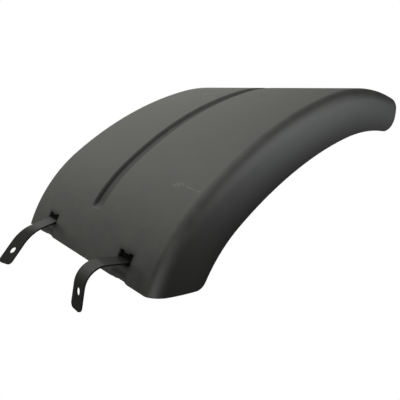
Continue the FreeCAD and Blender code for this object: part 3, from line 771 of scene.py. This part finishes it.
def surface_group():
    """Tone, roughness and grain: mottled by dust where the surface looks up, darkened by painted shade."""
    group, given, last = new_group(
        "moulded_surface",
        {"Vector": "Vector", "Normal": "Vector", "Painted Shade": "Float", "Dark": "Color", "Pale": "Color",
         "Clean Roughness": "Float", "Dusty Roughness": "Float", "Grain Scale": "Float",
         "Cloud Scale": "Float"},
        {"Color": "Color", "Roughness": "Float", "Height": "Float"})
    grain = add_node(group, "TexNoise", {"Vector": given["Vector"], "Scale": given["Grain Scale"],
                                         "Detail": GRAIN_DETAIL})
    slow = add_node(group, "TexNoise", {"Vector": given["Vector"], "Scale": given["Cloud Scale"],
                                        "Detail": CLOUD_DETAIL})
    cloud = add_node(group, "MapRange", {"Value": slow.outputs["Fac"],
                                         "From Min": CLOUD_LOW, "From Max": CLOUD_HIGH})
    split = add_node(group, "SeparateXYZ", {"Vector": given["Normal"]})
    dusty = add_node(group, "MapRange", {"Value": split.outputs["Z"],
                                         "From Min": STEEP_NORMAL, "From Max": LEVEL_NORMAL})
    mottled = add_node(group, "Mix", {"Factor": dusty.outputs["Result"], "A": CLEAN_TONE,
                                      "B": cloud.outputs["Result"]}, data_type="FLOAT")
    tone = add_node(group, "Mix", {"Factor": mottled.outputs["Result"], "A": given["Dark"],
                                   "B": given["Pale"]}, data_type="RGBA")
    # Painted shade: the tone turns towards near black.
    shaded = add_node(group, "Mix", {"Factor": given["Painted Shade"], "A": tone.outputs["Result"],
                                    "B": SHADE_TONE}, data_type="RGBA")
    dull = add_node(group, "Mix", {"Factor": dusty.outputs["Result"], "A": given["Clean Roughness"],
                                   "B": given["Dusty Roughness"]}, data_type="FLOAT")
    patches = add_node(group, "MapRange", {"Value": mottled.outputs["Result"],
                                           "To Min": -PATCHINESS, "To Max": PATCHINESS})
    patchy = add_node(group, "Math", {0: dull.outputs["Result"], 1: patches.outputs["Result"]},
                      operation="ADD")
    rough = add_node(group, "Mix", {"Factor": given["Painted Shade"], "A": patchy.outputs["Value"],
                                    "B": SHADE_ROUGHNESS}, data_type="FLOAT")
    feed(group, last, {"Color": shaded.outputs["Result"], "Roughness": rough.outputs["Result"],
                       "Height": grain.outputs["Fac"]})
    return group


moulded_surface = surface_group()
print(moulded_surface.name, "has", len(moulded_surface.nodes), "nodes")

# %% Plastic and rubber


def moulded_finish(name, tones, gloss, sheen, grain, cloud_scale):
    """A material on the shared surface: two tones, clean and dusty roughness, grain scale and depth."""
    material = bpy.data.materials.new(name)
    material.use_nodes = True
    tree = material.node_tree
    place = add_node(tree, "TexCoord", {})
    # The painted shade stored on each point of the mesh.
    painted_shade = add_node(tree, "Attribute", {}, attribute_name="painted_shade")
    surface = add_node(tree, "Group", {
        "Vector": place.outputs["Object"], "Normal": place.outputs["Normal"],
        "Painted Shade": painted_shade.outputs["Fac"], "Dark": (*tones[0], 1), "Pale": (*tones[1], 1),
        "Clean Roughness": gloss[0], "Dusty Roughness": gloss[1],
        "Grain Scale": grain[0], "Cloud Scale": cloud_scale}, node_tree=moulded_surface, name="surface")
    bump = add_node(tree, "Bump", {"Strength": 1.0, "Distance": grain[1],
                                   "Height": surface.outputs["Height"]})
    feed(tree, tree.nodes["Principled BSDF"], {
        "Base Color": surface.outputs["Color"], "Roughness": surface.outputs["Roughness"],
        "Specular IOR Level": sheen, "Normal": bump.outputs["Normal"]})
    return material


plastic = moulded_finish("black_moulded_plastic", gloss=(0.30, 0.40), sheen=0.5,
                         tones=((0.010, 0.010, 0.011), (0.031, 0.031, 0.0265)),
                         grain=(900, 0.012 * MM), cloud_scale=28)
rubber = moulded_finish("black_rubber", gloss=(0.30, 0.34), sheen=0.35,
                        tones=((0.003, 0.003, 0.0025), (0.009, 0.009, 0.008)),
                        grain=(320, 0.12 * MM), cloud_scale=60)
# Near-black matt rubber for the plate behind each slot: painted shade, so that the slot looks dark.
painted_shade_rubber = moulded_finish("painted_shade_rubber", gloss=(0.85, 0.9), sheen=0.05,
                             tones=((0.002, 0.002, 0.002), (0.003, 0.003, 0.003)),
                             grain=(600, 0.05 * MM), cloud_scale=60)
print("finishes:", [material.name for material in (plastic, rubber, painted_shade_rubber)])

# %% [markdown]
# ## Scuffs
# Something has rubbed across the panel near its lower end and left a pale smear and a thin broken
# line. An image could be painted for that, but a scuff is only the distance of a point from a short
# line on the surface, made patchy by noise. A node group works that out once for both.

# %% Node group: distance from a short line
SCUFF_TONE = (0.08, 0.08, 0.076, 1)
BREAK_SCALE = 160
BREAK_LOW = 0.35
BREAK_HIGH = 0.6


def scuff_group():
    """Mask that falls from 1 on the line from Start along Way to 0 at Width, broken by noise."""
    group, given, last = new_group(
        "scuff", {"Vector": "Vector", "Start": "Vector", "Way": "Vector", "Width": "Float"},
        {"Mask": "Float"})

    def vector_math(operation, first, second):
        """Outputs of an operation on two vectors."""
        return add_node(group, "VectorMath", {0: first, 1: second}, operation=operation).outputs

    from_start = vector_math("SUBTRACT", given["Vector"], given["Start"])["Vector"]
    covered = vector_math("DOT_PRODUCT", from_start, given["Way"])["Value"]
    whole = vector_math("DOT_PRODUCT", given["Way"], given["Way"])["Value"]
    share = add_node(group, "Math", {0: covered, 1: whole}, operation="DIVIDE", use_clamp=True)
    foot = vector_math("MULTIPLY", given["Way"], share.outputs["Value"])["Vector"]
    apart = vector_math("DISTANCE", from_start, foot)["Value"]
    fall = add_node(group, "MapRange", {"Value": apart, "From Max": given["Width"],
                                        "To Min": 1, "To Max": 0})
    breaks = add_node(group, "TexNoise", {"Vector": given["Vector"], "Scale": BREAK_SCALE})
    patch = add_node(group, "MapRange", {"Value": breaks.outputs["Fac"],
                                         "From Min": BREAK_LOW, "From Max": BREAK_HIGH})
    mask = add_node(group, "Math", {0: fall.outputs["Result"], 1: patch.outputs["Result"]},
                    operation="MULTIPLY")
    feed(group, last, {"Mask": mask.outputs["Value"]})
    return group


scuff = scuff_group()
print(scuff.name, "has", len(scuff.nodes), "nodes")

# %% Two scuffs on the shell
# start, end and half width in millimetres
SMEAR = ((-154.8, -147.0, 8.2), (-150.6, -162.0, 11.3), 5.0)
THIN_LINE = ((-152.6, -174.0, 9.8), (-154.5, -209.0, 8.3), 1.8)
SCUFFS = [SMEAR, THIN_LINE]


def add_scuffs(material):
    """Lighten the base colour along each scuff."""
    tree = material.node_tree
    place = add_node(tree, "TexCoord", {})
    colour = tree.nodes["surface"].outputs["Color"]
    for start, end, width in SCUFFS:
        mark = add_node(tree, "Group", {
            "Vector": place.outputs["Object"], "Start": [value * MM for value in start],
            "Way": [(last - first) * MM for first, last in zip(start, end)],
            "Width": width * MM}, node_tree=scuff)
        lighter = add_node(tree, "Mix", {"Factor": mark.outputs["Mask"], "A": colour, "B": SCUFF_TONE},
                           data_type="RGBA")
        colour = lighter.outputs["Result"]
    feed(tree, tree.nodes["Principled BSDF"], {"Base Color": colour})


add_scuffs(plastic)
print("scuffs on the shell:", len(SCUFFS))

# %% Give each piece its finish
PIECES = [(shell, "shell", "shell", plastic), (near_strap, "strap_near", "strap", rubber),
          (far_strap, "strap_far", "strap", rubber)]
for piece, node, slot, material in PIECES:
    piece.data.materials.append(material)
    # The straps also get the near-black plate material, painted shade behind the slot.
    if material is rubber:
        piece.data.materials.append(painted_shade_rubber)
    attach(piece, "root")
    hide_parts(node)
print("finished pieces:", [piece.name for piece, *rest in PIECES])

# %% [markdown]
# ## Stage, light and camera
# The picture is a cut-out on white, so floor and world are white for the camera. For the object the
# room is dark, with a few broad soft lights. Area lamps would do, but black plastic shows every
# lamp's edge as a line in its sheen. Each light is therefore painted on the world as a round glow
# without an edge: exp((cos a - 1) / spread^2), where a is the angle from the light's middle.

# %% Floor that only the camera sees as white


def seen_as_white(tree, lit, white_kind, output_kind):
    """White for the camera, and another shader for the light that reaches the object."""
    path = add_node(tree, "LightPath", {})
    white = add_node(tree, white_kind, {"Color": (1, 1, 1, 1)})
    mix = add_node(tree, "MixShader", {"Fac": path.outputs["Is Camera Ray"],
                                       1: lit.outputs[0], 2: white.outputs[0]})
    add_node(tree, output_kind, {"Surface": mix.outputs["Shader"]})


FLOOR_HALF = 4.0
floor_z = cad_box[0][2]
floor_corners = np.array([[-1, -1], [1, -1], [1, 1], [-1, 1]]) * FLOOR_HALF
floor_points = np.column_stack([floor_corners, np.full(len(floor_corners), floor_z)])
floor = mesh_piece("floor", floor_points, np.array([[0, 1, 2, 3]]), np.zeros(len(floor_corners)))
floor_paint = bpy.data.materials.new("white_for_camera")
floor_paint.use_nodes = True
floor_paint.node_tree.nodes.clear()
clear = add_node(floor_paint.node_tree, "BsdfTransparent", {})
seen_as_white(floor_paint.node_tree, clear, "Emission", "OutputMaterial")
floor.data.materials.append(floor_paint)
print("floor at", round(floor_z / MM, 1), "mm")

# %% Soft lights painted on the world


def glow_group():
    """A round glow about a direction: exp((cosine of the angle - 1) / spread^2), times a colour."""
    group, given, last = new_group(
        "soft_glow", {"Direction": "Vector", "Spread": "Float", "Light": "Vector", "Below": "Vector"},
        {"Sum": "Vector"})
    place = add_node(group, "TexCoord", {})
    cosine = add_node(group, "VectorMath", {0: place.outputs["Generated"], 1: given["Direction"]},
                      operation="DOT_PRODUCT")
    fall = add_node(group, "Math", {0: cosine.outputs["Value"], 1: 1}, operation="SUBTRACT")
    square = add_node(group, "Math", {0: given["Spread"], 1: 2}, operation="POWER")
    ratio = add_node(group, "Math", {0: fall.outputs["Value"], 1: square.outputs["Value"]},
                     operation="DIVIDE")
    glow = add_node(group, "Math", {0: ratio.outputs["Value"]}, operation="EXPONENT")
    added = add_node(group, "VectorMath", {0: given["Light"], 1: glow.outputs["Value"],
                                           2: given["Below"]}, operation="MULTIPLY_ADD")
    feed(group, last, {"Sum": added.outputs["Vector"]})
    return group


ROOM_FILL = (0.02, 0.02, 0.019)
COOL_WHITE = np.array([0.97, 1.0, 1.0])
WARM_WHITE = np.array([1.0, 1.0, 0.95])
# name, azimuth, elevation and spread in degrees, strength, tint
SOFT_LIGHTS = [
    ("front right", 44, 9, 12, 2.3, COOL_WHITE),
    ("upper right", 30, 35, 13, 3.5, COOL_WHITE),
    ("front left", -60, 3, 18, 2.2, WARM_WHITE),
    ("top", -40, 75, 14, 1.1, COOL_WHITE),
    ("overhead", -155, 60, 24, 2.1, WARM_WHITE),
    ("behind right", 145, 20, 18, 0.5, WARM_WHITE),
    ("behind left", -145, 13, 17, 0.4, WARM_WHITE),
]


def light_way(azimuth, elevation):
    """Unit vector from the object to a light; azimuth 0 is in front, along -Y."""
    turn, rise = math.radians(azimuth), math.radians(elevation)
    return (math.sin(turn) * math.cos(rise), -math.cos(turn) * math.cos(rise), math.sin(rise))


world = bpy.data.worlds.new("studio")
bpy.context.scene.world = world
world.use_nodes = True
world.node_tree.nodes.clear()
soft_glow = glow_group()
below = ROOM_FILL
for name, azimuth, elevation, spread, strength, tint in SOFT_LIGHTS:
    light = add_node(world.node_tree, "Group", {
        "Direction": light_way(azimuth, elevation), "Spread": math.radians(spread),
        "Light": (strength * tint).tolist(), "Below": below}, node_tree=soft_glow, label=name)
    below = light.outputs["Sum"]
room = add_node(world.node_tree, "Background", {"Color": below})
seen_as_white(world.node_tree, room, "Background", "OutputWorld")
print("soft lights:", len(SOFT_LIGHTS))

# %% Camera at the photograph's view
CAMERA_AT = (-560.7 * MM, -701.7 * MM, 158.5 * MM)
CAMERA_TURN = math.radians(-39.52)
CAMERA_TILT = math.radians(14.27)
# sensor and lens are in millimetres, as a camera takes them
SENSOR_WIDTH = 36
FOCAL_LENGTH = 40.36
camera_data = bpy.data.cameras.new("photo_camera")
camera_data.sensor_width = SENSOR_WIDTH
camera_data.lens = FOCAL_LENGTH
camera = bpy.data.objects.new("photo_camera", camera_data)
camera.location = CAMERA_AT
camera.rotation_euler = (math.pi / 2 - CAMERA_TILT, 0, CAMERA_TURN)
bpy.context.scene.collection.objects.link(camera)
bpy.context.scene.camera = camera
bpy.context.scene.view_settings.view_transform = "Standard"
print("camera angle of view:", round(math.degrees(camera_data.angle), 1), "degrees")
